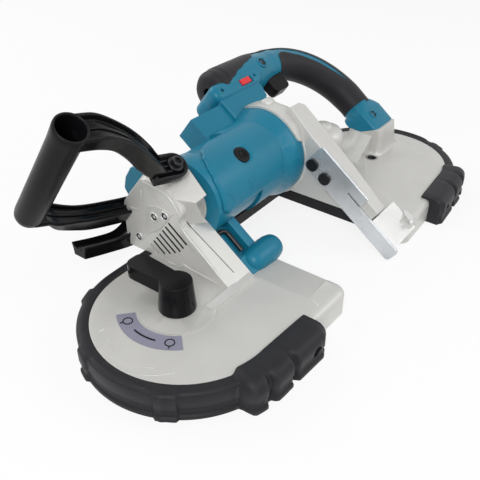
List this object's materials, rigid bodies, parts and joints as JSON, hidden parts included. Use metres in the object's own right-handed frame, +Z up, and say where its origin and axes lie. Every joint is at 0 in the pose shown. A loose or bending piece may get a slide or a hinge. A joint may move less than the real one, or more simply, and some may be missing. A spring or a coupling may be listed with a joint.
{
  "type": "portable band saw",
  "caption": "Cordless deep-cut portable band saw lying on its wheel side: round-ended cast frame with rubber rims, open throat, inline motor, bent main handle and hooked front handle.",
  "frame": {"origin": "middle of the bounding box's underside, on the floor the saw lies on", "axes": "+X from the tension end to the drive end, -Y towards the blade side, +Z up, away from the wheels"},
  "size_m": [0.518, 0.2598, 0.2107],
  "materials": {
    "frame_casting": "light silver paint on a casting, satin",
    "bright_casting": "bare casting, satin",
    "black_rubber": "matte moulded rubber",
    "gloss_black": "glossy black plastic",
    "black_plastic": "satin black plastic",
    "teal_plastic": "satin blue-green plastic",
    "red_plastic": "red plastic",
    "label_grey": "grey-violet plate with plain marks",
    "zinc_plate": "bright zinc plate",
    "steel": "machined steel",
    "dark_steel": "blackened steel",
    "copper": "copper segments",
    "lens": "clear lens",
    "board": "small lamp board"
  },
  "bodies": {
    "frame": {"main_frame": "frame_casting", "front_bumper": "black_rubber", "rear_bumper": "black_rubber", "throat_guard": "black_rubber", "slide_keepers": "bright_casting", "lever_label": "label_grey", "rear_axle": "steel", "gear_bearings": "steel", "gear_cover": "bright_casting", "gear_housing": "frame_casting", "motor_housing": "teal_plastic", "motor_yoke": "steel", "motor_magnets": "dark_steel", "motor_bearings": "steel", "carbon_brushes": "dark_steel", "brush_caps": "black_plastic", "motor_shroud": "frame_casting", "shroud_screws": "dark_steel", "lamp_cover": "teal_plastic", "lamp_lens": "lens", "lamp_board": "board", "stop_plate": "zinc_plate", "stop_bolts": "dark_steel", "rear_guide": "bright_casting", "front_guide": "bright_casting", "handle_left": "teal_plastic", "handle_right": "teal_plastic", "handle_grip": "black_rubber", "handle_nose": "black_rubber", "battery_terminals": "black_plastic", "switch_unit": "black_plastic", "handle_screws": "dark_steel", "front_handle": "black_plastic", "front_handle_bolt": "dark_steel", "hanging_hook": "black_plastic"},
    "tension_slide": {"tension_slide": "steel"},
    "front_wheel": {"front_wheel": "bright_casting", "front_tyre": "black_rubber", "front_wheel_bearing": "steel"},
    "tension_lever": {"tension_lever": "gloss_black", "tension_shaft": "steel"},
    "drive_wheel": {"drive_wheel": "bright_casting", "drive_tyre": "black_rubber", "drive_wheel_bearing": "steel", "wheel_gear": "steel"},
    "output": {"output_shaft": "steel", "bevel_gear": "steel"},
    "counter": {"counter_shaft": "steel", "reduction_gear": "steel"},
    "rotor": {"armature_shaft": "steel", "armature_core": "dark_steel", "commutator": "copper", "cooling_fan": "black_plastic"},
    "trigger": {"trigger": "black_plastic"},
    "lock_switch": {"lock_switch": "red_plastic"},
    "hex_key": {"hex_key": "dark_steel"},
    "rear_guide_roller": {"rear_guide_roller": "steel"},
    "front_guide_roller": {"front_guide_roller": "steel"}
  },
  "joints": [
    {"name": "lever_swing", "type": "hinge", "parent": "frame", "child": "tension_lever", "pos_m": [-0.17, -0.01589, 0.03], "axis": [0, 0, 1], "range_deg": [0, 115.01]},
    {"name": "tension_travel", "type": "slide", "parent": "frame", "child": "tension_slide", "axis": [-1, 0, 0], "range_m": [0, 0.00427]},
    {"name": "front_wheel_spin", "type": "hinge", "parent": "tension_slide", "child": "front_wheel", "pos_m": [-0.167, -0.02089, 0.0085], "axis": [0, 0, 1], "continuous": true},
    {"name": "drive_wheel_spin", "type": "hinge", "parent": "frame", "child": "drive_wheel", "pos_m": [0.17, -0.02089, 0.0085], "axis": [0, 0, 1], "continuous": true},
    {"name": "output_spin", "type": "hinge", "parent": "frame", "child": "output", "pos_m": [0.11203, 0.01543, 0.03], "axis": [0, 0, 1], "continuous": true},
    {"name": "counter_spin", "type": "hinge", "parent": "frame", "child": "counter", "pos_m": [0.06, 0.01543, 0.05596], "axis": [1, 0, 0], "continuous": true},
    {"name": "rotor_spin", "type": "hinge", "parent": "frame", "child": "rotor", "pos_m": [0, 0.03411, 0.076], "axis": [1, 0, 0], "continuous": true},
    {"name": "trigger_pull", "type": "slide", "parent": "frame", "child": "trigger", "axis": [0, 0.8039, 0.5948], "range_m": [0, 0.006], "stiffness_N_per_m": 900, "springref_m": -0.002},
    {"name": "lock_slide", "type": "slide", "parent": "frame", "child": "lock_switch", "axis": [1, 0, 0], "range_m": [0, 0.004]},
    {"name": "key_lift_out", "type": "slide", "parent": "frame", "child": "hex_key", "axis": [0, -0.5948, 0.8039], "range_m": [0, 0.014]},
    {"name": "rear_roller_spin", "type": "hinge", "parent": "frame", "child": "rear_guide_roller", "pos_m": [0.0525, -0.09749, 0.01345], "axis": [0, 0.8039, 0.5948], "continuous": true},
    {"name": "front_roller_spin", "type": "hinge", "parent": "frame", "child": "front_guide_roller", "pos_m": [-0.073, -0.08639, 0.011], "axis": [0, 0, 1], "continuous": true}
  ],
  "couplings": [
    {"joint": "lever_swing", "follows": "tension_travel", "rad_per_m": 470.29},
    {"joint": "output_spin", "follows": "drive_wheel_spin", "ratio": -3.25},
    {"joint": "counter_spin", "follows": "drive_wheel_spin", "ratio": 7.2222},
    {"joint": "rotor_spin", "follows": "drive_wheel_spin", "ratio": -20.635}
  ]
}
